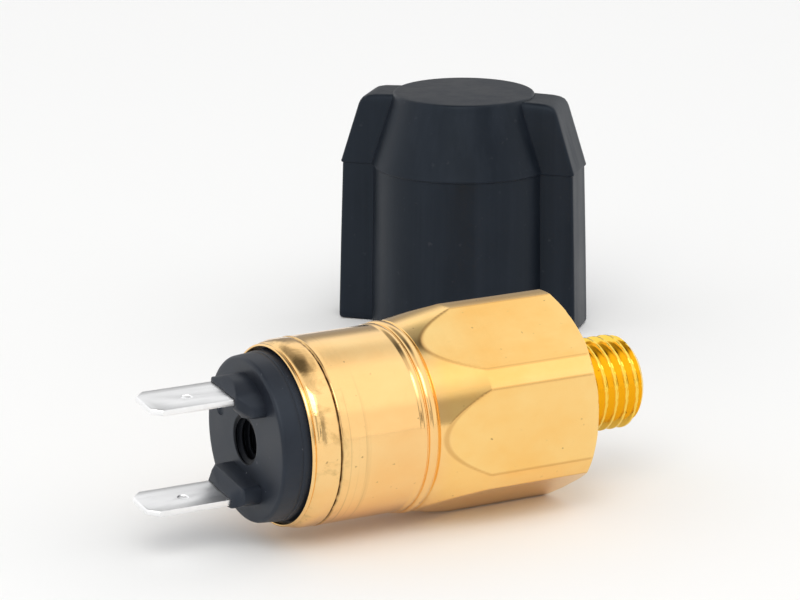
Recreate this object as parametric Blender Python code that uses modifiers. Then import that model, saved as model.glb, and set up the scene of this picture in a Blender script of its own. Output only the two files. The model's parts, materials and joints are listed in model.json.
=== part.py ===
"""Diaphragm pressure switch, hexagon 24, with two blade terminals, and its loose rubber cap.

The switch lies on a corner land of its hexagon, with its axis along +X (thread at +X, blades at -X).
The cap stands mouth down behind it, at +Y. Everything is in metres, +Z up.
"""

import math

import bmesh
import bpy
from mathutils import Matrix, Vector

MM = 0.001
TURN = 2 * math.pi

# Stations along the switch's axis, in mm from the rim of the can towards the thread.
BLADE_TIP = -17.2
BOSS_TOP = -6.7
BASE_FACE = -3.4
CRIMP_LINE = 3.7
CAN_END = 14.9
BEAD = (15.4, 16.8)
CONE_END = 24.3
HEX_END = 39.4
STUD_END = 50.4

# Radii and widths of the outside, in mm.
HEX_ACROSS_FLATS = 24.0
CORNER_RADIUS = 13.2
CAN_RADIUS = 11.65
BEAD_RADIUS = 11.9
MOUTH_RADIUS = 10.85
THREAD_MAJOR = 6.0
THREAD_MINOR = 5.08
THREAD_PITCH = 1.5
THREAD_CHAMFER = 1.1
END_CHAMFER = 0.8
# A shallow countersink in the seat face, a little wider than the thread.
SEAT_RELIEF = (6.3, 0.3)

# The can's inside: a pocket for the base's flange, the cavity, and the pressure chamber under the diaphragm.
LIP_DEPTH = 0.95
POCKET = (11.15, 3.8)
CAVITY_RADIUS = 10.2
SEAT = 31.5
CHAMBER = (7.0, 33.0)
PORT_RADIUS = 2.0

# Terminal base and blades, in mm. They are turned a little round the axis from the hexagon's corners.
FLANGE = (10.98, 1.0, 3.0)
PLUG = (10.0, 17.5)
SPRING_CHAMBER = (4.6, 5.0)
FACE_RADII = (9.9, 10.3, 10.6)
# Outline corners of the bosses as (across, outwards, rounding). Across points to the -Y side of the switch.
UPPER_BOSS = (
    (-3.5, 4.4, 0.6),
    (1.5, 4.2, 0.0),
    (1.85, 3.75, 0.0),
    (5.35, 4.95, 0.4),
    (4.7, 5.75, 0.0),
    (3.4, 6.6, 0.0),
    (1.6, 7.25, 0.0),
    (-3.5, 7.35, 0.3),
)
LOWER_BOSS = (
    (-3.5, 4.5, 0.7),
    (4.9, 4.5, 0.8),
    (5.1, 6.2, 0.8),
    (3.2, 7.35, 0.7),
    (-3.5, 7.35, 0.4),
)
TERMINAL_TURN = math.radians(6.3)
BLADE_OFFSET = 6.5
BLADE_WIDTH = 6.3
BLADE_THICKNESS = 0.8
BLADE_TIP_HALF_WIDTH = 2.0
BLADE_TIP_CHAMFER = 1.2
BLADE_FOOT = (18.1, 18.9)
FOOT_REACH = 8.6
FOOT_HALF_WIDTH = 2.0
CONTACT_OFFSET = 7.4
SLOT_CLEARANCE = 0.1

# Set screw, M6 with a pitch of 1 mm, and its clearance in the base.
SCREW_MAJOR = 2.93
SCREW_MINOR = 2.4
SCREW_PITCH = 1.0
SCREW_SPAN = (1.2, 5.7)
SCREW_SLOT = (0.5, 1.4)
SCREW_NOSE_RADIUS = 1.8
THREAD_CLEARANCE = 0.12

# Main spring, in mm.
SPRING_SPAN = (7.4, 27.1)
SPRING_RADIUS = 3.2
SPRING_WIRE = 0.4

# Protective cap: heights and radii in mm, and its foot's place from the rim of the can.
CAP_HEIGHT = 34.5
CAP_SHOULDER = 24.0
CAP_RADII = (13.5, 13.35, 10.4)
CAP_BORE = (11.75, 11.7, 8.9)
CAP_BORE_SHOULDER = 22.4
CAP_BORE_TOP = 32.6
LOBE_REACH = (18.0, 17.6, 14.4)
LOBE_HALF_WIDTH = 4.15
LOBE_ROUNDING = 0.5
CHANNEL_REACH = (16.3, 15.9, 12.5)
CHANNEL_HALF_WIDTH = 2.45
CAP_PLACE = (71.2, 76.8)
CAP_TURN = math.radians(-45)

ROUND_STEPS = 48
SMALL_STEPS = 32
TAPPED_STEPS = 24
# The lowest corner land is one facet of the turned body, so the axis is a little under CORNER_RADIUS high.
AXIS_HEIGHT = CORNER_RADIUS * math.cos(math.pi / ROUND_STEPS)


def clear_scene():
    for obj in list(bpy.data.objects):
        bpy.data.objects.remove(obj, do_unlink=True)


def new_collection(name):
    collection = bpy.data.collections.new(name)
    bpy.context.scene.collection.children.link(collection)
    return collection


clear_scene()
PARTS = new_collection("pressure_switch")


def material(name, color, roughness, metallic=0.0):
    made = bpy.data.materials.new(name)
    made.use_nodes = True
    shader = made.node_tree.nodes["Principled BSDF"]
    shader.inputs["Base Color"].default_value = (*color, 1.0)
    shader.inputs["Roughness"].default_value = roughness
    shader.inputs["Metallic"].default_value = metallic
    return made


BRASS = material("polished_brass", (0.93, 0.66, 0.28), 0.18, 1.0)
BLACK_PLASTIC = material("black_plastic", (0.035, 0.038, 0.045), 0.45)
GREY_PLASTIC = material("natural_plastic", (0.70, 0.68, 0.62), 0.5)
TINNED = material("tinned_brass", (0.80, 0.80, 0.80), 0.25, 1.0)
SILVER = material("contact_silver", (0.88, 0.87, 0.85), 0.3, 1.0)
STEEL = material("zinc_steel", (0.62, 0.63, 0.65), 0.35, 1.0)
SPRING_STEEL = material("spring_steel", (0.42, 0.43, 0.45), 0.35, 1.0)
RUBBER = material("black_rubber", (0.03, 0.031, 0.035), 0.6)


def link_object(name, data, collection=PARTS, surface=None):
    obj = bpy.data.objects.new(name, data)
    collection.objects.link(obj)
    if surface is not None:
        obj.data.materials.append(surface)
    return obj


def turned(name, profile, surface=None, steps=ROUND_STEPS, closed=True, turn=0.0):
    """A body of revolution about local Z. The profile holds (radius, height) points in mm."""
    mesh = bpy.data.meshes.new(name)
    points = [(radius * MM, 0.0, height * MM) for radius, height in profile]
    edges = [(i, i + 1) for i in range(len(points) - 1)]
    if closed:
        edges.append((len(points) - 1, 0))
    mesh.from_pydata(points, edges, [])
    obj = link_object(name, mesh, surface=surface)
    obj.rotation_euler.z = turn
    screw = obj.modifiers.new("turn", "SCREW")
    screw.steps = steps
    screw.render_steps = steps
    screw.use_merge_vertices = True
    screw.merge_threshold = 0.00001
    return obj


def applied(obj):
    """The object with its modifiers made into plain mesh, shaded smooth with sharp edges kept."""
    graph = bpy.context.evaluated_depsgraph_get()
    mesh = bpy.data.meshes.new_from_object(obj.evaluated_get(graph))
    obj.modifiers.clear()
    obj.data = mesh
    smooth(obj)
    return obj


def smooth(obj):
    obj.data.shade_smooth()
    obj.data.set_sharp_from_angle(angle=math.radians(32))
    return obj


def from_curve(obj):
    """The curve object remade as a welded mesh object of the same name."""
    graph = bpy.context.evaluated_depsgraph_get()
    mesh = bpy.data.meshes.new_from_object(obj.evaluated_get(graph))
    cleaned = bmesh.new()
    cleaned.from_mesh(mesh)
    bmesh.ops.remove_doubles(cleaned, verts=cleaned.verts, dist=0.000001)
    bmesh.ops.recalc_face_normals(cleaned, faces=cleaned.faces)
    cleaned.to_mesh(mesh)
    cleaned.free()
    name, place, parent = obj.name, obj.matrix_world.copy(), obj.parent
    bpy.data.objects.remove(obj, do_unlink=True)
    made = link_object(name, mesh)
    made.parent = parent
    made.matrix_world = place
    return made


def combine(obj, other, operation):
    """Applies one Boolean of another object, and removes that object."""
    bpy.context.view_layer.update()
    boolean = obj.modifiers.new(operation.lower(), "BOOLEAN")
    boolean.operation = operation
    boolean.solver = "EXACT"
    boolean.object = other
    applied(obj)
    bpy.data.objects.remove(other, do_unlink=True)
    return obj


def box(name, low, high):
    """A block between two corners in mm."""
    solid = bmesh.new()
    bmesh.ops.create_cube(solid, size=1.0)
    size = [(b - a) * MM for a, b in zip(low, high)]
    centre = [(a + b) / 2 * MM for a, b in zip(low, high)]
    bmesh.ops.transform(solid, matrix=Matrix.Diagonal((*size, 1.0)), verts=solid.verts)
    bmesh.ops.translate(solid, vec=Vector(centre), verts=solid.verts)
    mesh = bpy.data.meshes.new(name)
    solid.to_mesh(mesh)
    solid.free()
    return link_object(name, mesh)


def rounded_outline(corners, steps=3):
    """The outline through (x, y, rounding) corners, with a short curve at each corner that has a rounding."""
    outline = []
    for i, (x, y, rounding) in enumerate(corners):
        corner = Vector((x, y))
        if not rounding:
            outline.append(tuple(corner))
            continue
        before = (Vector(corners[i - 1][:2]) - corner).normalized() * rounding
        after = (Vector(corners[(i + 1) % len(corners)][:2]) - corner).normalized() * rounding
        for step in range(steps + 1):
            t = step / steps
            outline.append(tuple(corner + before * (1 - t) ** 2 + after * t**2))
    return outline


def extruded(name, outline, low, high):
    """A block over an outline of (x, y) points in mm, between two heights."""
    solid = bmesh.new()
    face = solid.faces.new([solid.verts.new((x * MM, y * MM, low * MM)) for x, y in outline])
    grown = bmesh.ops.extrude_face_region(solid, geom=[face])["geom"]
    moved = [v for v in grown if isinstance(v, bmesh.types.BMVert)]
    bmesh.ops.translate(solid, vec=(0, 0, (high - low) * MM), verts=moved)
    bmesh.ops.recalc_face_normals(solid, faces=solid.faces)
    mesh = bpy.data.meshes.new(name)
    solid.to_mesh(mesh)
    solid.free()
    return link_object(name, mesh)


def prism(name, sides, radius, low, high, turn=0.0):
    """An upright prism about local Z; the radius reaches its corners."""
    solid = bmesh.new()
    place = Matrix.Translation((0, 0, (low + high) / 2 * MM)) @ Matrix.Rotation(turn, 4, "Z")
    bmesh.ops.create_cone(
        solid,
        cap_ends=True,
        segments=sides,
        radius1=radius * MM,
        radius2=radius * MM,
        depth=(high - low) * MM,
        matrix=place,
    )
    mesh = bpy.data.meshes.new(name)
    solid.to_mesh(mesh)
    solid.free()
    return link_object(name, mesh)


def thread_radius(phase, minor, major):
    """The radius over one pitch: a flat root, a rising flank, a narrow crest and a falling flank."""
    root, crest = 0.22, 0.16
    flank = (1.0 - root - crest) / 2
    phase %= 1.0
    if phase < root:
        share = 0.0
    elif phase < root + flank:
        share = (phase - root) / flank
    elif phase < root + flank + crest:
        share = 1.0
    else:
        share = (1.0 - phase) / flank
    return minor + (major - minor) * share


def threaded_rod(name, minor, major, pitch, low, high, fade, steps, surface=None):
    """A solid rod with a right-hand thread about local Z. The thread runs out within `fade` mm of each end.

    The rows of the mesh climb with the thread, so that its crests and roots are clean edges. Rows beyond
    an end are clamped onto its rim, where the rod has its plain minor radius, and are welded there.
    """
    rows = (0.0, 0.22, 0.53, 0.69)
    turns = math.ceil((high - low) / pitch) + 1
    solid = bmesh.new()
    grid = []
    for index in range(-len(rows), turns * len(rows)):
        phase = index // len(rows) + rows[index % len(rows)]
        ring = []
        for step in range(steps):
            height = low + (phase + step / steps) * pitch
            clamped = min(max(height, low), high)
            edge = min(clamped - low, high - clamped) / fade
            radius = min(thread_radius(phase, minor, major), minor + (major - minor) * edge)
            angle = TURN * step / steps
            spot = (radius * math.cos(angle) * MM, radius * math.sin(angle) * MM, clamped * MM)
            ring.append(solid.verts.new(spot))
        grid.append(ring)
    for index in range(len(grid) - len(rows)):
        for step in range(steps):
            if step + 1 < steps:
                right, upper_right = grid[index][step + 1], grid[index + 1][step + 1]
            else:
                right = grid[index + len(rows)][0]
                upper_right = grid[min(index + 1 + len(rows), len(grid) - 1)][0]
            corners = [grid[index][step], right, upper_right, grid[index + 1][step]]
            if len(set(corners)) == 4:
                solid.faces.new(corners)
    bmesh.ops.remove_doubles(solid, verts=solid.verts, dist=0.000002)
    bmesh.ops.dissolve_degenerate(solid, dist=0.000001, edges=solid.edges)
    loose = [v for v in solid.verts if not v.link_faces]
    bmesh.ops.delete(solid, geom=loose, context="VERTS")
    bmesh.ops.holes_fill(solid, edges=[e for e in solid.edges if e.is_boundary], sides=0)
    bmesh.ops.recalc_face_normals(solid, faces=solid.faces)
    mesh = bpy.data.meshes.new(name)
    solid.to_mesh(mesh)
    solid.free()
    return smooth(link_object(name, mesh, surface=surface))


def make_housing():
    """Brass body: crimped can, bead, cone, hexagon with turned corners, and the M12 port stud."""
    profile = [
        (THREAD_MINOR - 1.0, HEX_END),
        (HEX_ACROSS_FLATS / 2, HEX_END),
        (CORNER_RADIUS, HEX_END - END_CHAMFER),
        (CORNER_RADIUS, CONE_END),
        (BEAD_RADIUS, BEAD[1]),
        (BEAD_RADIUS, BEAD[0]),
        (CAN_RADIUS - 0.2, BEAD[0] - 0.1),
        (CAN_RADIUS - 0.2, CAN_END + 0.1),
        (CAN_RADIUS, CAN_END),
        (CAN_RADIUS, CRIMP_LINE + 0.15),
        (CAN_RADIUS - 0.1, CRIMP_LINE),
        (CAN_RADIUS, CRIMP_LINE - 0.15),
        (CAN_RADIUS - 0.03, 0.9),
        (CAN_RADIUS - 0.2, 0.3),
        (CAN_RADIUS - 0.45, 0.0),
        (MOUTH_RADIUS, 0.1),
        (MOUTH_RADIUS, LIP_DEPTH),
        (POCKET[0], LIP_DEPTH),
        POCKET,
        (CAVITY_RADIUS, POCKET[1]),
        (CAVITY_RADIUS, SEAT),
        (CHAMBER[0], SEAT),
        CHAMBER,
        (THREAD_MINOR - 1.0, CHAMBER[1]),
    ]
    half_step = math.pi / ROUND_STEPS
    housing = applied(turned("hex_housing", profile, BRASS, turn=half_step))
    # A corner of the hexagon points straight down, along local X, and another straight up.
    to_corner = HEX_ACROSS_FLATS / 2 / math.cos(math.pi / 6)
    hexagon = prism("hexagon", 6, to_corner, -2.0, HEX_END + 2.0, turn=math.pi / 6)
    combine(housing, hexagon, "INTERSECT")
    relief_radius, relief_depth = SEAT_RELIEF
    relief = prism("relief", SMALL_STEPS, relief_radius, HEX_END - relief_depth, HEX_END + 1.0)
    combine(housing, relief, "DIFFERENCE")
    start = CHAMBER[1] + 1.0
    stud = threaded_rod(
        "stud", THREAD_MINOR, THREAD_MAJOR, THREAD_PITCH, start, STUD_END, THREAD_CHAMFER, SMALL_STEPS
    )
    combine(housing, stud, "UNION")
    port = prism("port", SMALL_STEPS, PORT_RADIUS, CHAMBER[1] - 1.0, STUD_END + 1.0)
    return combine(housing, port, "DIFFERENCE")


def make_base():
    """Black base: plug with a spring chamber, threaded for the set screw, with two blade bosses."""
    profile = [
        (PLUG[0], PLUG[1]),
        (PLUG[0], FLANGE[2]),
        (FLANGE[0], FLANGE[2]),
        (FLANGE[0], FLANGE[1]),
        (FACE_RADII[2], FLANGE[1]),
        (FACE_RADII[1], BASE_FACE + 0.4),
        (FACE_RADII[0], BASE_FACE),
        (0.0, BASE_FACE),
        (0.0, SPRING_CHAMBER[1]),
        (SPRING_CHAMBER[0], SPRING_CHAMBER[1]),
        (SPRING_CHAMBER[0], PLUG[1]),
    ]
    base = applied(turned("terminal_base", profile, BLACK_PLASTIC))
    for side, corners in ((-1, UPPER_BOSS), (1, LOWER_BOSS)):
        outline = [(side * outwards, -across) for across, outwards in rounded_outline(corners)]
        combine(base, extruded("boss", outline, BOSS_TOP, BASE_FACE + 0.6), "UNION")
    for side in (-1, 1):
        half = BLADE_THICKNESS / 2 + SLOT_CLEARANCE
        near, far = sorted((side * BLADE_OFFSET - half, side * BLADE_OFFSET + half))
        reach = BLADE_WIDTH / 2 + SLOT_CLEARANCE
        slot = box("slot", (near, -reach, BOSS_TOP - 1.0), (far, reach, PLUG[1] + 1.0))
        combine(base, slot, "DIFFERENCE")
    # The cutter's thread has the screw's phase, THREAD_CLEARANCE outside it.
    cutter = threaded_rod(
        "tapped_hole",
        SCREW_MINOR + THREAD_CLEARANCE,
        SCREW_MAJOR + THREAD_CLEARANCE,
        SCREW_PITCH,
        BASE_FACE - 1.0 + 0.2,
        SPRING_CHAMBER[1] + 1.2,
        0.5,
        TAPPED_STEPS,
    )
    return combine(base, cutter, "DIFFERENCE")


def make_blade(name, side):
    """A 6.3 x 0.8 mm blade that runs through the base and ends in a foot for its fixed contact."""
    half = BLADE_WIDTH / 2
    outline = [
        (-BLADE_TIP_HALF_WIDTH, BLADE_TIP),
        (BLADE_TIP_HALF_WIDTH, BLADE_TIP),
        (half, BLADE_TIP + BLADE_TIP_CHAMFER),
        (half, BLADE_FOOT[1]),
        (-half, BLADE_FOOT[1]),
        (-half, BLADE_TIP + BLADE_TIP_CHAMFER),
    ]
    curve = bpy.data.curves.new(name, "CURVE")
    curve.dimensions = "2D"
    curve.fill_mode = "BOTH"
    curve.extrude = BLADE_THICKNESS / 2 * MM
    spline = curve.splines.new("POLY")
    spline.points.add(len(outline) - 1)
    for point, (across, along) in zip(spline.points, outline):
        point.co = (across * MM, along * MM, 0.0, 1.0)
    spline.use_cyclic_u = True
    obj = link_object(name, curve)
    # The outline's X lies along the width (local Y), and its Y along the axis (local Z).
    obj.matrix_world = Matrix.Translation((side * BLADE_OFFSET * MM, 0, 0)) @ Matrix(
        ((0, 0, 1, 0), (1, 0, 0, 0), (0, 1, 0, 0), (0, 0, 0, 1))
    )
    bpy.context.view_layer.update()
    blade = from_curve(obj)
    blade.data.materials.append(TINNED)
    blade.data.transform(blade.matrix_world)
    blade.matrix_world = Matrix.Identity(4)
    near, far = sorted((side * (BLADE_OFFSET - 0.2), side * FOOT_REACH))
    low, high = (near, -FOOT_HALF_WIDTH, BLADE_FOOT[0]), (far, FOOT_HALF_WIDTH, BLADE_FOOT[1] - 0.02)
    foot = box("foot", low, high)
    return combine(blade, foot, "UNION")


def make_spring():
    """The main helical compression spring, with closed end turns."""
    turns, per_turn, closed_turns = 8, 14, 1.0
    low, high = SPRING_SPAN[0] + SPRING_WIRE, SPRING_SPAN[1] - SPRING_WIRE
    closed_rise = closed_turns * SPRING_WIRE * 2.15
    count = turns * per_turn
    curve = bpy.data.curves.new("main_spring", "CURVE")
    curve.dimensions = "3D"
    curve.bevel_depth = SPRING_WIRE * MM
    curve.bevel_resolution = 2
    curve.use_fill_caps = True
    spline = curve.splines.new("POLY")
    spline.points.add(count)
    for index, point in enumerate(spline.points):
        turn = index / per_turn
        from_low = min(turn / closed_turns, 1.0) * closed_rise
        from_high = min((turns - turn) / closed_turns, 1.0) * closed_rise
        middle = min(max(turn - closed_turns, 0.0), turns - 2 * closed_turns) / (turns - 2 * closed_turns)
        height = low + from_low + (high - low - 2 * closed_rise) * middle + (closed_rise - from_high)
        angle = TURN * turn
        point.co = (
            SPRING_RADIUS * math.cos(angle) * MM,
            SPRING_RADIUS * math.sin(angle) * MM,
            height * MM,
            1.0,
        )
    spring = from_curve(link_object("main_spring", curve))
    spring.data.materials.append(SPRING_STEEL)
    return smooth(spring)


def make_set_screw():
    """The M6 set screw with its slot, and a nose that bears on the spring plate."""
    screw = threaded_rod(
        "adjusting_screw", SCREW_MINOR, SCREW_MAJOR, SCREW_PITCH, *screw_rod_span(), 0.5, TAPPED_STEPS, STEEL
    )
    nose = prism("nose", TAPPED_STEPS, SCREW_NOSE_RADIUS, SCREW_SPAN[1] - 0.5, SCREW_SPAN[1] + 0.45)
    combine(screw, nose, "UNION")
    half, depth = SCREW_SLOT
    slot = box("slot", (-half, -4.0, SCREW_SPAN[0] - 1.0), (half, 4.0, SCREW_SPAN[0] + depth))
    return combine(screw, slot, "DIFFERENCE")


def screw_rod_span():
    """The screw's ends, with its start a whole number of pitches above the tapped hole's start."""
    tapped_start = BASE_FACE - 1.0 + 0.2
    return tapped_start + round((SCREW_SPAN[0] - tapped_start) / SCREW_PITCH) * SCREW_PITCH, SCREW_SPAN[1]


def ring(name, inner, outer, low, high, surface, steps=SMALL_STEPS):
    return turned(name, [(outer, high), (outer, low), (inner, low), (inner, high)], surface, steps)


def make_contacts():
    """Fixed rivets on the blades' feet, and the bridge with its two rivets that closes onto them."""
    made = [ring("contact_bridge", 5.1, 8.7, 21.7, 22.1, TINNED)]
    made.append(ring("bridge_washer", 5.05, 6.1, 21.2, 21.55, STEEL))
    fixed = [(0.0, 20.0), (0.8, 20.0), (1.0, 19.8), (1.0, 19.0), (0.0, 19.0)]
    moving = [(0.0, 21.6), (1.0, 21.6), (1.0, 20.95), (0.8, 20.8), (0.0, 20.8)]
    for side, word in ((-1, "upper"), (1, "lower")):
        for kind, profile in (("fixed_contact", fixed), ("moving_contact", moving)):
            rivet = turned(f"{kind}_{word}", profile, SILVER, 16, closed=False)
            rivet.location.x = side * CONTACT_OFFSET * MM
            made.append(rivet)
    return made


def make_pressure_side():
    """Diaphragm, its support ring, the piston on it, the contact carrier, the sleeve and the gasket."""
    diaphragm = [(0.0, 31.4), (9.9, 31.4), (9.9, 30.6), (0.0, 30.6)]
    piston = [(0.0, 30.4), (4.6, 30.4), (5.2, 30.0), (5.2, 28.7), (2.0, 28.7), (1.6, 28.55), (0.0, 28.55)]
    carrier = [
        (0.0, 28.4),
        (5.0, 28.4),
        (5.0, 23.5),
        (8.7, 23.5),
        (8.7, 22.3),
        (4.9, 22.3),
        (4.9, 20.4),
        (4.1, 20.4),
        (4.1, 27.2),
        (0.0, 27.2),
    ]
    return [
        turned("diaphragm", diaphragm, RUBBER, SMALL_STEPS, closed=False),
        turned("piston", piston, STEEL, SMALL_STEPS, closed=False),
        turned("contact_carrier", carrier, GREY_PLASTIC, SMALL_STEPS, closed=False),
        ring("diaphragm_support_ring", 5.5, 10.0, 24.7, 30.4, STEEL),
        ring("spacer_sleeve", 9.05, 10.0, 17.7, 24.5, GREY_PLASTIC),
        ring("base_gasket", 10.35, 10.98, 3.1, 3.7, RUBBER),
    ]


def make_spring_plate():
    """The steel seat under the main spring, with a hub that centres it."""
    plate = [(0.0, 7.9), (2.2, 7.9), (2.5, 7.6), (2.5, 7.1), (4.35, 7.1), (4.35, 6.3), (0.0, 6.3)]
    return turned("spring_plate", plate, STEEL, SMALL_STEPS, closed=False)


def lobe_bar(name, reach, half_width, shoulder, top, foot, bevel):
    """A bar across the cap for both lobes. Reach: half lengths at the foot, the shoulder and the top."""
    solid = bmesh.new()
    heights = (foot, shoulder, top)
    side = [(r, h) for r, h in zip(reach, heights)]
    outline = side + [(-r, h) for r, h in reversed(side)]
    front = [solid.verts.new((x * MM, -half_width * MM, z * MM)) for x, z in outline]
    face = solid.faces.new(front)
    grown = bmesh.ops.extrude_face_region(solid, geom=[face])["geom"]
    moved = [v for v in grown if isinstance(v, bmesh.types.BMVert)]
    bmesh.ops.translate(solid, vec=(0, 2 * half_width * MM, 0), verts=moved)
    bmesh.ops.recalc_face_normals(solid, faces=solid.faces)
    if bevel:
        ends = [e for e in solid.edges if abs(e.verts[0].co.y - e.verts[1].co.y) < 1e-9 and is_steep(e)]
        bmesh.ops.bevel(solid, geom=ends, offset=bevel * MM, segments=4, profile=0.5, affect="EDGES")
    mesh = bpy.data.meshes.new(name)
    solid.to_mesh(mesh)
    solid.free()
    return link_object(name, mesh)


def is_steep(edge):
    first, second = (v.co for v in edge.verts)
    return abs(first.z - second.z) > 0.5 * (first - second).length


def make_cap():
    """Rubber cap: a turned hood with a tapered top, two hollow lobes for the wires, open at its mouth."""
    foot, shoulder, top = CAP_RADII
    hood = [
        (0.0, CAP_HEIGHT),
        (top - 0.6, CAP_HEIGHT),
        (top - 0.15, CAP_HEIGHT - 0.2),
        (top + 0.1, CAP_HEIGHT - 0.7),
        (shoulder - 0.45, CAP_SHOULDER + 0.1),
        (shoulder, CAP_SHOULDER - 0.2),
        (foot, 0.0),
        (0.0, 0.0),
    ]
    cap = applied(turned("protective_cap", hood, RUBBER, closed=False))
    bar = lobe_bar("lobes", LOBE_REACH, LOBE_HALF_WIDTH, CAP_SHOULDER, CAP_HEIGHT, 0.0, LOBE_ROUNDING)
    combine(cap, bar, "UNION")
    mouth, inner_shoulder, inner_top = CAP_BORE
    bore = [
        (0.0, CAP_BORE_TOP),
        (inner_top, CAP_BORE_TOP),
        (inner_shoulder, CAP_BORE_SHOULDER),
        (mouth, -1.0),
        (0.0, -1.0),
    ]
    combine(cap, applied(turned("bore", bore, closed=False)), "DIFFERENCE")
    channel = lobe_bar(
        "channels", CHANNEL_REACH, CHANNEL_HALF_WIDTH, CAP_BORE_SHOULDER, CAP_BORE_TOP - 0.4, -1.0, 0.0
    )
    return combine(cap, channel, "DIFFERENCE")


def empty(name, parent=None):
    made = bpy.data.objects.new(name, None)
    PARTS.objects.link(made)
    made.parent = parent
    return made


def world_box(objects):
    """The lowest and highest corners of the objects' evaluated meshes, in world space."""
    bpy.context.view_layer.update()
    graph = bpy.context.evaluated_depsgraph_get()
    corners = []
    for obj in objects:
        evaluated = obj.evaluated_get(graph)
        mesh = evaluated.to_mesh()
        corners += [evaluated.matrix_world @ v.co for v in mesh.vertices]
        evaluated.to_mesh_clear()
    low = [min(c[i] for c in corners) for i in range(3)]
    high = [max(c[i] for c in corners) for i in range(3)]
    return low, high


def main():
    whole = empty("whole")
    axis = empty("switch_axis", whole)
    # Local Z of the axis points along world +X, so local X points down.
    axis.location.z = AXIS_HEIGHT * MM
    axis.rotation_euler.y = math.radians(90)

    terminals = empty("terminal_axis", axis)
    terminals.rotation_euler.z = TERMINAL_TURN

    turned_pieces = [make_base(), make_set_screw()] + make_contacts()
    turned_pieces += [make_blade("terminal_blade_upper", -1), make_blade("terminal_blade_lower", 1)]
    for obj in turned_pieces:
        obj.parent = terminals
    straight_pieces = [make_housing(), make_spring(), make_spring_plate()] + make_pressure_side()
    for obj in straight_pieces:
        obj.parent = axis

    cap = make_cap()
    cap.parent = whole
    cap.location = (CAP_PLACE[0] * MM, CAP_PLACE[1] * MM, 0.0)
    cap.rotation_euler.z = CAP_TURN

    low, high = world_box(turned_pieces + straight_pieces + [cap])
    whole.location = (-(low[0] + high[0]) / 2, -(low[1] + high[1]) / 2, -low[2])


main()
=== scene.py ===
"""Looks for the pressure switch and its rubber cap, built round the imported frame.

Lengths in the shape functions are in mm and become metres when a mesh is made. A station is a distance along
the switch's axis from the rim of its can, positive towards the thread. An angle round that axis is 0 on the
side that faces -Y and grows upwards, over the top.
"""

import json
import math

import bmesh
import bpy
import numpy as np
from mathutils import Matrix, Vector, noise


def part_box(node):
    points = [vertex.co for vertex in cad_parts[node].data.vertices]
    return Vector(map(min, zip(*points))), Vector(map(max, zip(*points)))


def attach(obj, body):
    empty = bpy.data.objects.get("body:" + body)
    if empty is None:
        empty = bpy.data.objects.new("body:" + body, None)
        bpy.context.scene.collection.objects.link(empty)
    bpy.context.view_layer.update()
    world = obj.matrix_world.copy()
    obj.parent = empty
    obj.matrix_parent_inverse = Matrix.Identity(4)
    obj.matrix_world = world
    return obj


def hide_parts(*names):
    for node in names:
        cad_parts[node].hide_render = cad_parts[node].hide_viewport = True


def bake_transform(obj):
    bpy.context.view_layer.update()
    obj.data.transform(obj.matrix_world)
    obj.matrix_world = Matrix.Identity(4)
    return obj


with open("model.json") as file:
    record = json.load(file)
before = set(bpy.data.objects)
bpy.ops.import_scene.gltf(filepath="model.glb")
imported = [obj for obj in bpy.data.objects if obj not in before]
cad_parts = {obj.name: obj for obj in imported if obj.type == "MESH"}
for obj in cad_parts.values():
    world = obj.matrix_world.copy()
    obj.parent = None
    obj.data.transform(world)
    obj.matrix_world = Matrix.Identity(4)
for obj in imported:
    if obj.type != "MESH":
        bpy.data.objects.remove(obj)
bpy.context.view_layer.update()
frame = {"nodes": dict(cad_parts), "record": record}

MM = 0.001
TURN = 2 * math.pi

# Places, from the frame.
HOUSING_LOW, HOUSING_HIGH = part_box("hex_housing")
CAP_LOW, CAP_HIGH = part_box("protective_cap")
BASE_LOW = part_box("terminal_base")[0]
BLADE_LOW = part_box("terminal_blade_upper")[0]
SPRING_LOW, SPRING_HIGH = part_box("main_spring")
RIM_X = HOUSING_LOW.x
AXIS_Y = (HOUSING_LOW.y + HOUSING_HIGH.y) / 2
AXIS_Z = (HOUSING_LOW.z + HOUSING_HIGH.z) / 2
CAP_CENTRE = ((CAP_LOW + CAP_HIGH) / 2).to_2d()
STUD_END = (HOUSING_HIGH.x - RIM_X) / MM
BLADE_TIP = (BLADE_LOW.x - RIM_X) / MM
BOSS_TOP = (BASE_LOW.x - RIM_X) / MM
CAP_HEIGHT = CAP_HIGH.z / MM

# Housing, in mm.
ACROSS_FLATS = 24.0
CORNER_RADIUS = 13.17
CAN_RADIUS = 11.65
CRIMP_LINE = 3.7
# How uneven the rolled lip is, coarse and fine, and the nicks along the crimp line.
LIP_SWELL, LIP_RIPPLE = 0.085, 0.032
NICK_DEPTH, NICK_WIDTH, NICK_WANDER = 0.11, 0.14, 0.10
CONE_START, CONE_END = 17.05, 24.3
# The cone's radius where it starts, and how much it grows per mm.
CONE_FOOT = 11.86
CONE_RISE = (13.2 - CONE_FOOT) / (CONE_END - CONE_START)
CHAMFER_START, HEX_END = 38.2, 39.4
# The hexagon's end chamfer: its radius at the end, and how much it grows per mm from there.
CHAMFER_RADIUS = 12.05
CHAMFER_RISE = 1.45
END_FACE_RADIUS = 12.02
# Any radius outside the hexagon. There the flats and corner lands give the shape.
BEYOND_HEXAGON = 15.0
THREAD_PITCH = 1.5
THREAD_MAJOR, THREAD_MINOR = 6.0, 5.08
# The chamfer at the stud's end, given as the hexagon's is.
STUD_CHAMFER_RADIUS = 5.0
STUD_CHAMFER_RISE = 0.95
PORT_RADIUS = 2.0

# Terminal base and blades, in mm.
BASE_FACE = -3.4
TERMINAL_TURN = math.radians(6.3)
BLADE_HALF_WIDTH, BLADE_TIP_HALF_WIDTH = 3.15, 2.02
BLADE_THICKNESS = 0.8
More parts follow.
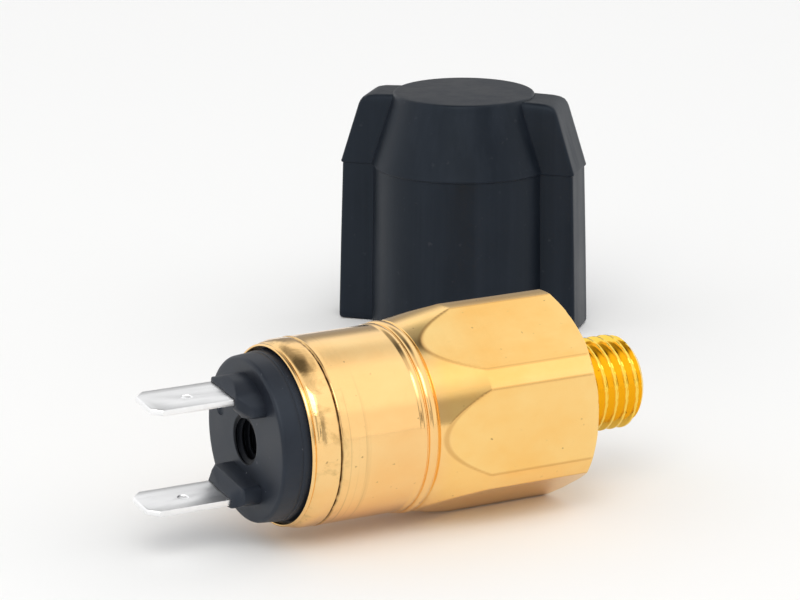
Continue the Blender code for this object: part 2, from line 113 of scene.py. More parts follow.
# A blade's middle is this far from the switch's axis, and its inner end is at this station.
BLADE_OUT = 6.5
BLADE_END = 18.9
BLADE_TAPER = 1.2
SLOT_HALF_WIDTH = 3.22
SLOT_NEAR, SLOT_FAR = 6.04, 6.96
SLOT_END = 18.5
# A boss's front is level over this area round its blade, and a margin. It stays just inside the CAD's.
LEVEL_HALF_WIDTH = 3.2
LEVEL_NEAR, LEVEL_FAR = 6.0, 7.0
LEVEL_MARGIN = 0.15
BOSS_INSET = 0.02
BOSS_EDGE = 0.14

# Outlines of the two bosses round the blades: near, up and the corner's rounding, in mm.
UPPER_BOSS = [
    (-3.5, 6.0, 0.0),
    (2.9, 6.0, 0.3),
    (1.75, 4.3, 0.2),
    (1.9, 3.75, 0.2),
    (5.35, 4.95, 0.5),
    (5.0, 6.2, 0.4),
    (3.6, 7.5, 0.7),
    (1.2, 8.35, 0.8),
    (-1.4, 8.3, 0.6),
    (-3.5, 7.3, 0.2),
]
LOWER_BOSS = [
    (-3.5, -3.95, 0.8),
    (-3.5, -7.35, 0.4),
    (3.2, -7.35, 0.8),
    (5.1, -6.2, 0.8),
    (4.9, -4.3, 0.8),
]

# Tapped hole in the base's middle, in mm.
HOLE_MINOR, HOLE_MAJOR = 2.52, 3.05
HOLE_PITCH = 1.0
HOLE_END = 5.6
COUNTERSINK_RADIUS = 3.12
COUNTERSINK_RISE = 2.5

# Main spring, in mm.
SPRING_RADIUS = 3.2
SPRING_WIRE = 0.4
SPRING_TURNS = 8.0
SPRING_CLOSED_TURNS = 1.0

# Cap, in mm. The bar that makes its lobes droops at the top, beyond this distance from the middle.
CAP_TURN = math.radians(-45)
DROOP_START = 9.5
DROOP_RUN = 5.0
# The bar's levels, from the foot up: half length, half width, rounding, height, any droop at its ends.
LOBE_LEVELS = [
    (17.55, 3.8, 0.4, 0.0),
    (17.82, 4.0, 0.45, 0.09),
    (17.95, 4.1, 0.5, 0.35),
    (17.95, 4.13, 0.5, 1.2),
    (17.7, 4.05, 0.5, 12.0),
    (17.38, 3.98, 0.5, 23.4),
    (17.36, 3.98, 0.5, 23.6),
    (17.46, 4.06, 0.5, 23.68),
    (17.58, 4.14, 0.5, 23.78),
    (17.6, 4.15, 0.5, 23.92),
    (17.5, 4.14, 0.5, 24.2),
    (16.15, 4.1, 0.55, 28.6),
    (14.95, 4.05, 0.6, 32.5),
    (14.72, 4.0, 0.65, 33.1, 0.05),
    (14.4, 3.9, 0.75, 33.6, 0.10),
    (13.9, 3.72, 0.9, 33.95, 0.16),
    (13.3, 3.45, 1.0, 34.12, 0.18),
    (12.6, 3.1, 1.0, 34.18, 0.2),
]
# The hollow inside the lobes, in the same way.
CHANNEL_LEVELS = [
    (16.35, 2.45, 0.3, -1.0),
    (16.3, 2.45, 0.3, 0.0),
    (15.9, 2.45, 0.3, 22.4),
    (12.5, 2.45, 0.3, 32.2),
]

# Metals of the inner pieces: slot, two tones, roughness and how fine their grain is.
INNER_METALS = [
    ("contact_silver", (0.9, 0.89, 0.87), (0.80, 0.79, 0.77), 0.3, 1500),
    ("zinc_steel", (0.66, 0.67, 0.69), (0.52, 0.53, 0.56), 0.36, 1200),
    ("spring_steel", (0.46, 0.47, 0.49), (0.34, 0.35, 0.37), 0.34, 2000),
]

# The studio's brightness: its level, and what changes it. A spot has a direction, the angles from that, in
# degrees, at which it begins and is full, and its change. An upright strip has an azimuth and half its width,
# in degrees, the heights between which it lies, and its change.
WORLD_LEVEL = 0.93
WORLD_LEAST = 0.1
WORLD_STRENGTH = 1.18
OVERHEAD_CHANGE = -0.25
WORLD_SPOTS = [
    ((0.47, -0.42, 0.77), 32, 20, 0.15),  # high on the right
    ((0.485, 0.875, 0.12), 26, 8, -0.6),  # low behind
    ((-0.17, -0.62, 0.75), 19, 9, 0.7),  # high in front
    ((-0.205, -0.957, 0.216), 9, 4, -0.65),  # low in front
    ((0.0, 0.38, 0.92), 33, 14, -0.6),  # high behind
]
WORLD_STRIPS = [(9, 9, 0.0, 0.5, -0.5), (-35, 7, 0.0, 0.6, -0.45)]
KEY_PLACE = (-0.45, -0.55, 0.7)
KEY_AIM = (0.0, 0.0, 0.01)
KEY_SIDE = 0.5
KEY_POWER = 2.0
KEY_COLOUR = (1.0, 0.99, 0.93)
FLOOR_REACH = 4.0
FLOOR_GAP = 0.0001

CAMERA_AZIMUTH = -29.0
CAMERA_ELEVATION = 15.0
CAMERA_DISTANCE = 0.46
# The camera is placed by a point on the switch's axis, this many mm behind the rim, and by where it is in the
# picture: in pixels below the middle and to the right of it.
AIM_STATION = 18.7
AIM_BELOW_MIDDLE, AIM_SHIFT = 114, 5
PIXELS_PER_MM = 8.1
PICTURE_WIDTH = 800


def switch_point(station, radius, angle):
    """The place of a point: its station, its distance from the switch's axis, its angle round it."""
    return (
        RIM_X + station * MM,
        AXIS_Y - radius * math.cos(angle) * MM,
        AXIS_Z + radius * math.sin(angle) * MM,
    )


def mesh_object(name, vertices, faces, smooth_angle=None):
    """A mesh object whose faces point outward."""
    mesh = bpy.data.meshes.new(name)
    mesh.from_pydata([tuple(v) for v in vertices], [], faces)
    mesh.validate()
    solid = bmesh.new()
    solid.from_mesh(mesh)
    obj = solid_object(name, solid)
    shade(obj, smooth_angle)
    return obj


def solid_object(name, solid):
    """The closed bmesh as an object, its faces pointing outward."""
    bmesh.ops.recalc_face_normals(solid, faces=solid.faces)
    if solid.calc_volume(signed=True) < 0:
        bmesh.ops.reverse_faces(solid, faces=solid.faces)
    mesh = bpy.data.meshes.new(name)
    solid.to_mesh(mesh)
    solid.free()
    obj = bpy.data.objects.new(name, mesh)
    bpy.context.scene.collection.objects.link(obj)
    return obj


def shade(obj, smooth_angle=None):
    """Smooth shading, with edges sharper than the angle, in degrees, kept crisp."""
    obj.data.shade_smooth()
    if smooth_angle is not None:
        obj.data.set_sharp_from_angle(angle=math.radians(smooth_angle))


def dress(obj, finish):
    """Gives the whole object one material."""
    obj.data.materials.clear()
    obj.data.materials.append(finish)


def loft(name, rings, closed_loop=False, smooth_angle=None, hubs=None):
    """A skin over rings of equally many points. It closes on itself, or a fan caps each end.

    The fans meet at the hubs, or else at the middle of each end's ring.
    """
    count = len(rings[0])
    vertices = [point for ring in rings for point in ring]
    faces = []
    for row in range(len(rings) if closed_loop else len(rings) - 1):
        start, above = row * count, (row + 1) % len(rings) * count
        for column in range(count):
            after = (column + 1) % count
            faces.append((start + column, start + after, above + after, above + column))
    if not closed_loop:
        for row in (0, len(rings) - 1):
            centre = len(vertices)
            middle = np.mean(np.array(rings[row]), axis=0)
            vertices.append(hubs[0 if row == 0 else 1] if hubs else middle)
            start = row * count
            faces += [(start + c, start + (c + 1) % count, centre) for c in range(count)]
    return mesh_object(name, vertices, faces, smooth_angle)


def spaced(low, high, step):
    """Values from low to high, evenly spaced at about the step, without the last."""
    count = max(1, round(abs(high - low) / step))
    return [low + (high - low) * i / count for i in range(count)]


def polyline(points, step):
    """Points along straight stretches between the given ones, at about the step, with the last one."""
    made = []
    for (x0, y0), (x1, y1) in zip(points, points[1:]):
        count = max(1, round(math.hypot(x1 - x0, y1 - y0) / step))
        made += [(x0 + (x1 - x0) * i / count, y0 + (y1 - y0) * i / count) for i in range(count)]
    return made + [points[-1]]


def arc(centre, radii, start, end, count):
    """Points on an ellipse from one angle to another, in degrees."""
    angles = [math.radians(start + (end - start) * i / count) for i in range(count + 1)]
    return [(centre[0] + radii[0] * math.cos(a), centre[1] + radii[1] * math.sin(a)) for a in angles]


def smooth_min(a, b, width):
    """The smaller of two values, blended over the width."""
    share = max(0.0, min(1.0, 0.5 + 0.5 * (b - a) / width))
    return b + (a - b) * share - width * share * (1 - share)


def smoothstep(low, high, value):
    """0 below low, 1 above high, smooth between them."""
    share = max(0.0, min(1.0, (value - low) / (high - low)))
    return share * share * (3 - 2 * share)


def bump_noise(*place):
    """Smooth noise between about -1 and 1."""
    return noise.noise(Vector(place))


# ---------------------------------------------------------------- materials


class Tree:
    """A short way to add and link nodes."""

    def __init__(self, tree):
        self.tree = tree

    def add(self, kind, **settings):
        node = self.tree.nodes.new(kind)
        for name, value in settings.items():
            setattr(node, name, value)
        return node

    def join(self, source, target):
        self.tree.links.new(source, target)

    def fill(self, socket, value):
        """Sets a socket to a value, or links an output to it."""
        if hasattr(value, "is_output"):
            self.join(value, socket)
        else:
            socket.default_value = value

    def math(self, operation, first, second=0.0):
        node = self.add("ShaderNodeMath", operation=operation)
        self.fill(node.inputs[0], first)
        self.fill(node.inputs[1], second)
        return node.outputs[0]

    def times(self, first, second):
        return self.math("MULTIPLY", first, second)


class Nodes(Tree):
    """One material's node tree, round its Principled shader."""

    def __init__(self, name):
        self.material = bpy.data.materials.new(name)
        self.material.use_nodes = True
        super().__init__(self.material.node_tree)
        self.shader = self.tree.nodes["Principled BSDF"]
        self.place = self.add("ShaderNodeTexCoord").outputs["Object"]

    def stretched(self, scale, location=(0, 0, 0)):
        """The object's place, scaled differently along each axis."""
        mapping = self.add("ShaderNodeMapping")
        mapping.inputs["Scale"].default_value = scale
        mapping.inputs["Location"].default_value = location
        self.join(self.place, mapping.inputs["Vector"])
        return mapping.outputs["Vector"]

    def noise(self, vector, scale=1.0, detail=4.0, roughness=0.5, distortion=0.0):
        node = self.add("ShaderNodeTexNoise")
        self.join(vector, node.inputs["Vector"])
        node.inputs["Scale"].default_value = scale
        node.inputs["Detail"].default_value = detail
        node.inputs["Roughness"].default_value = roughness
        node.inputs["Distortion"].default_value = distortion
        return node.outputs["Fac"]

    def ramp(self, value, stops):
        """A colour or grey ramp; each stop is (position, grey or colour)."""
        node = self.add("ShaderNodeValToRGB")
        ramp = node.color_ramp
        while len(ramp.elements) < len(stops):
            ramp.elements.new(0.5)
        for element, (position, color) in zip(ramp.elements, stops):
            element.position = position
            element.color = (*color, 1) if isinstance(color, tuple) else (color, color, color, 1)
        self.join(value, node.inputs["Fac"])
        return node.outputs["Color"]

    def between(self, value, low, high, to_low=0.0, to_high=1.0):
        """The value, carried from one range to another and clamped there."""
        node = self.add("ShaderNodeMapRange")
        for socket, item in zip(node.inputs[:5], (value, low, high, to_low, to_high)):
            self.fill(socket, item)
        return node.outputs["Result"]

    def mix(self, share, first, second):
        node = self.add("ShaderNodeMix", data_type="RGBA")
        self.fill(node.inputs["Factor"], share)
        self.fill(node.inputs[6], first if hasattr(first, "is_output") else (*first, 1))
        self.fill(node.inputs[7], second if hasattr(second, "is_output") else (*second, 1))
        return node.outputs[2]

    def bump(self, height, distance, strength=1.0, after=None):
        node = self.add("ShaderNodeBump")
        node.inputs["Distance"].default_value = distance
        node.inputs["Strength"].default_value = strength
        self.join(height, node.inputs["Height"])
        if after is not None:
            self.join(after, node.inputs["Normal"])
        return node.outputs["Normal"]

    def off_axis(self, parts):
        """How far a place is from the switch's axis, towards -Y and upwards, in mm, and both together."""
        near = self.math("DIVIDE", self.math("SUBTRACT", AXIS_Y, parts.outputs["Y"]), MM)
        up = self.math("DIVIDE", self.math("SUBTRACT", parts.outputs["Z"], AXIS_Z), MM)
        squares = self.math("ADD", self.times(near, near), self.times(up, up))
        return near, up, self.math("SQRT", squares)

    def attribute(self, name):
        return self.add("ShaderNodeAttribute", attribute_name=name).outputs["Fac"]

    def set(self, **values):
        """Sets the shader's inputs, with _ for a space in a name, and returns the material."""
        for name, value in values.items():
            self.fill(self.shader.inputs[name.replace("_", " ")], value)
        return self.material


def brass():
    """Polished brass: turning lines, richer on the hexagon, worn at the rolled lip, with painted light and
    shade.
    """
    n = Nodes("polished_brass")
    axis = n.add("ShaderNodeSeparateXYZ")
    n.join(n.place, axis.inputs[0])
    station = n.math("DIVIDE", n.math("SUBTRACT", axis.outputs["X"], RIM_X), MM)
    drift = n.noise(n.stretched((70, 110, 110)), detail=4, roughness=0.6)
    can_tones = (0.93, 0.56, 0.22), (0.94, 0.60, 0.25), (0.95, 0.66, 0.30)
    hexagon_tones = (0.95, 0.56, 0.17), (0.96, 0.62, 0.22), (0.97, 0.68, 0.27)
    # Painted light: the thread's deeper orange stands in for light bounced between its flanks.
    painted_thread_tone = (0.95, 0.63, 0.09)
    stops = (0.3, 0.5, 0.72)
    on_can, on_hexagon = (n.ramp(drift, list(zip(stops, tones))) for tones in (can_tones, hexagon_tones))
    tone = n.mix(n.between(station, 16.0, 19.0), on_can, on_hexagon)
    tone = n.mix(n.between(station, HEX_END - 0.1, HEX_END + 0.3), tone, painted_thread_tone)
    lines = n.noise(n.stretched((5200, 34, 34)), detail=5, roughness=0.7)
    coarse_lines = n.noise(n.stretched((900, 16, 16), (3, 1, 2)), detail=3, roughness=0.6)
    # This noise drives the lip's real wear, its roughness and dents, and also its painted dark reflection
    # patches.
    wear_and_painted_patches = n.noise(n.stretched((240, 330, 330)), detail=5, roughness=0.62, distortion=0.5)
    pit = n.noise(n.stretched((1500,) * 3, (2, 5, 1)), detail=1, roughness=0.4)
    on_lip = n.attribute("lip")
    crease = n.attribute("crease")
    edge_shade = painted_edge_lines(n, axis, station)
    # Painted reflection: dark olive patches on the rolled lip stand in for dark reflections there.
    painted_lip_patches = n.times(n.between(wear_and_painted_patches, 0.5, 0.68, 0.0, 0.6), on_lip)
    colour = n.mix(painted_lip_patches, tone, (0.34, 0.22, 0.07))
    # Fine rubbed rings just past the crimp.
    after_crimp = n.between(station, 4.0, 4.6)
    rubbed = n.times(after_crimp, n.between(station, 6.2, 8.4, 1.0, 0.0))
    rings = n.noise(n.stretched((1700, 26, 26), (1, 4, 4)), detail=3, roughness=0.6)
    rubbed = n.times(rubbed, n.between(rings, 0.54, 0.66, 0.0, 0.6))
    colour = n.mix(rubbed, colour, (0.52, 0.33, 0.14))
    colour = n.mix(n.between(pit, 0.76, 0.80, 0.0, 0.6), colour, (0.30, 0.18, 0.07))
    # Painted shade: a dark orange line along the hexagon's edges stands in for the dark reflection at those
    # edges.
    colour = n.mix(n.times(edge_shade, 0.55), colour, (0.62, 0.33, 0.10))
    # Painted shade: the crimp's nicks are darkened nearly to black, standing in for the shadow in them.
    colour = n.mix(n.times(crease, 0.92), colour, (0.10, 0.055, 0.02))
    rough = n.between(lines, 0.3, 0.7, 0.08, 0.14)
    rough = n.math("ADD", rough, n.times(n.between(wear_and_painted_patches, 0.5, 0.8, 0.0, 0.10), on_lip))
    fine = n.bump(lines, 0.000004, 0.55)
    mid = n.bump(coarse_lines, 0.000012, 0.35, fine)
    wear_share = n.math("ADD", n.times(on_lip, 0.8), 0.2)
    worn = n.bump(n.times(wear_and_painted_patches, wear_share), 0.00012, 0.4, mid)
    return n.set(Base_Color=colour, Metallic=1.0, Roughness=rough, Normal=worn)


def painted_edge_lines(n, axis, station):
    """Mask of a painted dark edge line: 1 where a flat meets the turned cone or a corner land, falling to 0
    close beside that line.
    """
    near, up, radius = n.off_axis(axis)
    outward = n.math("ABSOLUTE", near)
    for side in (-1, 1):
        upward = n.times(up, side * math.sqrt(0.75))
        leaning = n.math("ADD", n.times(near, 0.5), upward)
        outward = n.math("MAXIMUM", outward, n.math("ABSOLUTE", leaning))
    cone = n.math("ADD", n.times(station, CONE_RISE), CONE_FOOT - CONE_START * CONE_RISE)
    turned = n.math("MINIMUM", cone, CORNER_RADIUS)
    inside_flat = n.math("SUBTRACT", ACROSS_FLATS / 2, outward)
    gap = n.math("ADD", inside_flat, n.math("SUBTRACT", turned, radius))
    line = n.between(gap, 0.035, 0.10, 1.0, 0.0)
    on_hexagon = n.between(station, CONE_START + 0.1, CONE_START + 0.3)
    before_chamfer = n.between(station, CHAMFER_START, CHAMFER_START + 0.5, 1.0, 0.0)
    return n.times(line, n.times(on_hexagon, before_chamfer))


def black_plastic():
    """Moulded black plastic with a fine grain, a little dust and painted shade in the tapped hole."""
    n = Nodes("black_plastic")
    grain = n.noise(n.stretched((2600,) * 3), detail=3, roughness=0.6)
    cloud = n.noise(n.stretched((160,) * 3), detail=4, roughness=0.6)
    colour = n.mix(n.between(cloud, 0.35, 0.7), (0.010, 0.012, 0.018), (0.016, 0.020, 0.029))
    # Sparse moulding dust.
    specks = n.noise(n.stretched((1300,) * 3, (4, 2, 7)), detail=2, roughness=0.5)
    colour = n.mix(n.between(specks, 0.74, 0.79, 0.0, 0.5), colour, (0.35, 0.36, 0.40))
    # Painted shade: the tapped hole's inside is darkened nearly to black and its specular level lowered,
    # standing in for the shadow in the hole.
    parts = n.add("ShaderNodeSeparateXYZ")
    n.join(n.place, parts.inputs[0])
    reach = n.off_axis(parts)[2]
    hole_edge = HOLE_MAJOR + 0.05
    hole_shade = n.times(n.between(reach, hole_edge, hole_edge + 0.1, 1.0, 0.0), 0.9)
    colour = n.mix(hole_shade, colour, (0.002, 0.002, 0.003))
    rough = n.between(cloud, 0.3, 0.7, 0.38, 0.50)
    return n.set(
        Base_Color=colour,
        Roughness=rough,
        Specular_IOR_Level=n.between(hole_shade, 0.0, 0.9, 0.36, 0.12),
        Specular_Tint=(0.78, 0.88, 1.0, 1.0),
        Normal=n.bump(grain, 0.00001, 0.5),
    )


def black_rubber():
    """Dull black rubber, slightly clouded, with a little dust."""
    n = Nodes("black_rubber")
    grain = n.noise(n.stretched((1900,) * 3), detail=4, roughness=0.65)
    cloud = n.noise(n.stretched((70, 70, 60)), detail=5, roughness=0.6)
    dust = n.noise(n.stretched((900,) * 3, (4, 2, 7)), detail=2, roughness=0.5)
    # Faint upright flow marks from moulding.
    flow = n.noise(n.stretched((420, 420, 14), (1, 1, 3)), detail=4, roughness=0.55)
    dark, light = (0.0050, 0.0072, 0.0115), (0.0085, 0.0118, 0.018)
    colour = n.mix(n.between(cloud, 0.3, 0.7), dark, light)
    colour = n.mix(n.between(flow, 0.45, 0.7, 0.0, 0.6), colour, (0.014, 0.018, 0.026))
    colour = n.mix(n.between(dust, 0.70, 0.80, 0.0, 0.12), colour, (0.10, 0.10, 0.11))
    rough = n.math("ADD", n.between(cloud, 0.3, 0.7, 0.36, 0.48), n.between(flow, 0.4, 0.7, -0.04, 0.05))
    return n.set(
        Base_Color=colour,
        Roughness=rough,
        Specular_IOR_Level=0.22,
        Specular_Tint=(0.74, 0.86, 1.0, 1.0),
        Normal=n.bump(grain, 0.00002, 0.5),
    )


def tin():
    """Bright tin plate with drawn lines along the blade and faint stamping marks."""
    n = Nodes("tinned_brass")
    drawn = n.noise(n.stretched((60, 2400, 2400)), detail=4, roughness=0.65)
    scuff = n.noise(n.stretched((420, 700, 420)), detail=6, roughness=0.7)
    colour = n.mix(n.between(scuff, 0.35, 0.7), (0.96, 0.96, 0.965), (0.90, 0.905, 0.91))
    rough = n.between(drawn, 0.3, 0.7, 0.26, 0.38)
    normal = n.bump(scuff, 0.00001, 0.5, n.bump(drawn, 0.000005, 0.6))
    return n.set(Base_Color=colour, Metallic=1.0, Roughness=rough, Normal=normal)


def plain_metal(name, light, dark, roughness, scale):
    """A small inner metal piece: plating with a fine grain."""
    n = Nodes(name)
    grain = n.noise(n.stretched((scale, scale * 0.3, scale * 0.3)), detail=5, roughness=0.65)
    colour = n.mix(n.between(grain, 0.3, 0.7), light, dark)
    rough = n.between(grain, 0.3, 0.7, roughness - 0.06, roughness + 0.08)
    return n.set(Base_Color=colour, Metallic=1.0, Roughness=rough, Normal=n.bump(grain, 0.000008, 0.5))


def nylon():
    """Undyed plastic of the inner pieces."""
    n = Nodes("natural_plastic")
    cloud = n.noise(n.stretched((300,) * 3), detail=4, roughness=0.6)
    colour = n.mix(n.between(cloud, 0.3, 0.7), (0.70, 0.68, 0.60), (0.62, 0.60, 0.52))
    rough = n.between(cloud, 0.3, 0.7, 0.42, 0.55)
    return n.set(Base_Color=colour, Roughness=rough, Normal=n.bump(cloud, 0.00002, 0.4))


# ---------------------------------------------------------------- housing


def flat_distance(angle):
    """How far out a flat of the hexagon is at this angle. A flat faces -Y, at angle 0."""
    return ACROSS_FLATS / 2 / math.cos((angle + math.pi / 6) % (math.pi / 3) - math.pi / 6)


def housing_profile():
    """(station, radius) pairs of the turned outside, from the lip's inner edge to the end chamfer."""
    lip = arc((0.34, 11.02), (0.34, 0.22), -90, -270, 14)
    shoulder = [(0.44, 11.16)] + arc((2.6, 10.98), (2.1, 0.67), 172, 90, 22)[1:]
    crease = [(3.1, 11.655), (3.4, 11.66), (3.52, 11.65), (3.6, 11.60), (3.66, 11.53), (3.72, 11.52)]
    crease += [(3.78, 11.58), (3.86, 11.67), (3.96, 11.69), (4.1, 11.67), (4.3, CAN_RADIUS)]
    can = [(s, CAN_RADIUS) for s in spaced(4.6, 14.4, 0.7)] + [(14.4, CAN_RADIUS)]
    step = [(14.55, CAN_RADIUS), (14.7, 11.72), (14.85, 11.78), (15.0, 11.8), (15.25, 11.8)]
    groove = [(15.33, 11.76), (15.4, 11.66), (15.48, 11.59), (15.56, 11.59), (15.61, 11.64)]
    bead = arc((16.22, 11.66), (0.6, 0.33), 175, 5, 20)
    foot = [(16.86, 11.64), (16.92, 11.6), (16.98, 11.64), (17.03, 11.74)]
    # The cone is cut finely, because the flats' curved edges run across it.
    fine_end = 26.6
    stations = spaced(CONE_START + 0.06, fine_end, 0.085)
    cone = [(s, CONE_FOOT + (s - CONE_START) * CONE_RISE) for s in stations]
    hexagon = [(s, BEYOND_HEXAGON) for s in spaced(fine_end, CHAMFER_START, 0.6)]
    chamfer = [(s, BEYOND_HEXAGON) for s in spaced(CHAMFER_START, HEX_END - 0.08, 0.05)]
    return lip + shoulder + crease + can + step + groove + bead + foot + cone + hexagon + chamfer


def outer_radius(station, radius, angle):
    """The housing's radius: the turned profile met by the flats, the corner lands and the end chamfer."""
    if station < CONE_START:
        return radius
    return smooth_min(turned_radius(station, radius), flat_distance(angle), 0.03)


def turned_radius(station, radius):
    """The turned profile over the hexagon: the cone, the corner lands and the end chamfer."""
    turned = smooth_min(radius, CORNER_RADIUS, 0.05)
    return smooth_min(turned, CHAMFER_RADIUS + (HEX_END - station) * CHAMFER_RISE, 0.08)


def ring_angles(columns):
    """Even angles round the axis, with finer ones at both edges of each corner land."""
    even = [TURN * c / columns for c in range(columns)]
    edge = math.acos(ACROSS_FLATS / 2 / CORNER_RADIUS)
    steps = [math.radians(step) for step in (-0.5, -0.3, -0.12, 0.0, 0.12, 0.3, 0.5)]
    fine = []
    for flat in range(6):
        for side in (-1, 1):
            centre = flat * math.pi / 3 + side * edge
            fine += [(centre + step) % TURN for step in steps]
    kept = [a for a in even if all(abs(a - f) > math.radians(0.1) for f in fine)]
    return sorted(kept + fine)


def lip_waves(station, angle):
    """Hand-worked unevenness of the rolled lip, in mm of radius."""
    near = smoothstep(0.3, 1.4, station) * (1 - smoothstep(3.3, 3.6, station))
    ring = (math.cos(angle) * 2.2, math.sin(angle) * 2.2)
    swell = LIP_SWELL * bump_noise(ring[0], ring[1], station * 0.45)
    ripple = LIP_RIPPLE * bump_noise(ring[0] * 3.1, ring[1] * 3.1, station * 1.1 + 7.0)
    return near * (swell + ripple)


def crease_depth(station, angle):
    """Nicks along the crimp line: where the crease is deeper, in mm."""
    ring = (math.cos(angle) * 9.0, math.sin(angle) * 9.0)
    wander = NICK_WANDER * bump_noise(ring[0] * 0.4, ring[1] * 0.4, 3.0)
    distance = (station - CRIMP_LINE - wander) / NICK_WIDTH
    nick = 0.62 + 0.6 * bump_noise(ring[0] * 1.6, ring[1] * 1.6, station * 2.0)
    return NICK_DEPTH * max(0.0, nick) * math.exp(-distance * distance)


def thread_radius(station, angle, minor, major, pitch):
    """The radius of a right-hand thread with rounded crests and roots."""
    phase = (station / pitch + angle / TURN) % 1.0
    rise = 1 - abs(phase - 0.5) * 2
    rounded = smoothstep(0.10, 0.86, rise)
    straight = max(0.0, min(1.0, (rise - 0.12) / 0.70))
    return minor + (major - minor) * (rounded * 0.35 + straight * 0.65)


def housing_rings():
    """The rings of the whole housing, outside and in, and how far each point belongs to each mark."""
    angles = ring_angles(312)
    rings, marks = [], {"lip": [], "crease": []}

    def add(points, lip=0.0, crease=None):
        rings.append(points)
        marks["lip"] += [lip] * len(angles)
        marks["crease"] += crease or [0.0] * len(angles)

    def add_circles(profile):
        for station, radius in profile:
            add([switch_point(station, radius, a) for a in angles])

    for station, radius in housing_profile():
        ring, nicks = [], []
        for angle in angles:
            depth = crease_depth(station, angle) if 3.2 < station < 4.3 else 0.0
            r = outer_radius(station, radius, angle) - depth
            r += lip_waves(station, angle) if station < CRIMP_LINE else 0.0
            ring.append(switch_point(station, r, angle))
            # The crease mark says how strongly the painted shade darkens each point of the crimp's nicks.
            nicks.append(min(1.0, depth / 0.06) if depth else 0.0)
        lip = smoothstep(0.2, 0.8, station) * (1 - smoothstep(3.6, 5.5, station))
        add(ring, lip, nicks)
    # End face, relief, thread and the stud's end.
    for radius in (0.995, 0.93, 0.8, 0.66, 0.55):
        add([switch_point(HEX_END, END_FACE_RADIUS * radius * flat_scale(a, radius), a) for a in angles])
    add_circles(arc((HEX_END + 0.35, 5.45), (0.35, 0.4), 180, 270, 4))
    start, end = HEX_END + 0.75, STUD_END - 0.12
    step = 0.06
    for station in spaced(start, end, step) + [end]:
        ring = []
        fade = smoothstep(start, start + 1.0, station)
        end_radius = STUD_CHAMFER_RADIUS + (STUD_END - station) * STUD_CHAMFER_RISE
        for angle in angles:
            r = thread_radius(station, angle, THREAD_MINOR, THREAD_MAJOR, THREAD_PITCH)
            r = THREAD_MINOR + (r - THREAD_MINOR) * fade
            ring.append(switch_point(station, smooth_min(r, end_radius, 0.08), angle))
        add(ring)
    add_circles((STUD_END, radius) for radius in (4.95, 4.2, 3.2, 2.35))
    # Port bore, pressure chamber, chamber of the works, and the seat of the base under the lip.
    inside = [(STUD_END - 0.08, 2.2), (STUD_END - 0.3, PORT_RADIUS)]
    inside += [(44.0, PORT_RADIUS), (33.05, PORT_RADIUS)]
    inside += [(33.0, 2.05), (33.0, 6.95), (32.95, 7.0), (31.5, 7.0)]
    inside += [(31.5, 10.15), (31.4, 10.2), (18.0, 10.2), (3.85, 10.2)]
    inside += [(3.8, 10.25), (3.8, 11.1), (3.7, 11.15), (1.0, 11.15), (0.95, 11.12), (0.95, 10.86)]
    add_circles(inside)
    return rings, marks


def flat_scale(angle, share):
    """Draws the end face's outer rings in from the hexagon's outline to a circle."""
    outline = min(1.0, flat_distance(angle) / END_FACE_RADIUS)
    return outline + (1 - outline) * (1 - share)


def add_mark(obj, name, values):
    """Puts one value on each vertex, for the material to read."""
    attribute = obj.data.attributes.new(name, "FLOAT", "POINT")
    attribute.data.foreach_set("value", np.array(values, np.float32))


def make_housing(finish):
    rings, marks = housing_rings()
    housing = loft("brass_housing", rings, closed_loop=True, smooth_angle=40)
    for name, values in marks.items():
        add_mark(housing, name, values)
    dress(housing, finish)
    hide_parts("hex_housing")
    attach(housing, "switch_body")


# ---------------------------------------------------------------- terminal base and blades


def base_point(station, near, up):
    """A point of the terminal base: near is how far towards -Y, up how far towards +Z, before its turn."""
    cos, sin = math.cos(TERMINAL_TURN), math.sin(TERMINAL_TURN)
    return (
        RIM_X + station * MM,
        AXIS_Y - (near * cos + up * sin) * MM,
        AXIS_Z + (up * cos - near * sin) * MM,
    )


def prism(name, outline, front, back):
    """A block over an outline of (near, up) points, from one station to another."""
    rings = [[base_point(station, near, up) for near, up in outline] for station in (front, back)]
    return solid_object(name, capped(rings))


def capped(rings):
    """Two rings as a closed bmesh: a face over each, and a quad along each side."""
    solid = bmesh.new()
    front, back = ([solid.verts.new(place) for place in ring] for ring in rings)
    solid.faces.new(front)
    solid.faces.new(list(reversed(back)))
    for i in range(len(front)):
        j = (i + 1) % len(front)
        solid.faces.new((front[j], front[i], back[i], back[j]))
    bmesh.ops.recalc_face_normals(solid, faces=solid.faces)
    return solid


def combine(obj, other, operation):
    """Applies one exact Boolean of another object, and removes that object."""
    boolean = obj.modifiers.new(operation.lower(), "BOOLEAN")
    boolean.operation = operation
    boolean.solver = "EXACT"
    boolean.object = other
    bpy.context.view_layer.update()
    graph = bpy.context.evaluated_depsgraph_get()
    mesh = bpy.data.meshes.new_from_object(obj.evaluated_get(graph))
    obj.modifiers.clear()
    obj.data = mesh
    bpy.data.objects.remove(other, do_unlink=True)


def joined(objects):
    """Separate closed shells put together in one mesh object."""
    whole = bmesh.new()
    for obj in objects:
        whole.from_mesh(obj.data)
        bpy.data.objects.remove(obj, do_unlink=True)
    return solid_object("joined", whole)


def rounded_outline(corners):
    """An outline of (x, y, rounding) corners, with each corner replaced by an arc-like run of points."""
    outline, steps = [], 5
    for i, (x, y, rounding) in enumerate(corners):
        if not rounding:
            outline.append((x, y))
            continue
        corner = Vector((x, y))
        before = (Vector(corners[i - 1][:2]) - corner).normalized() * rounding
        after = (Vector(corners[(i + 1) % len(corners)][:2]) - corner).normalized() * rounding
        for step in range(steps + 1):
            t = step / steps
            point = corner + before * (1 - t) ** 2 + after * t**2
            outline.append((point.x, point.y))
    return outline


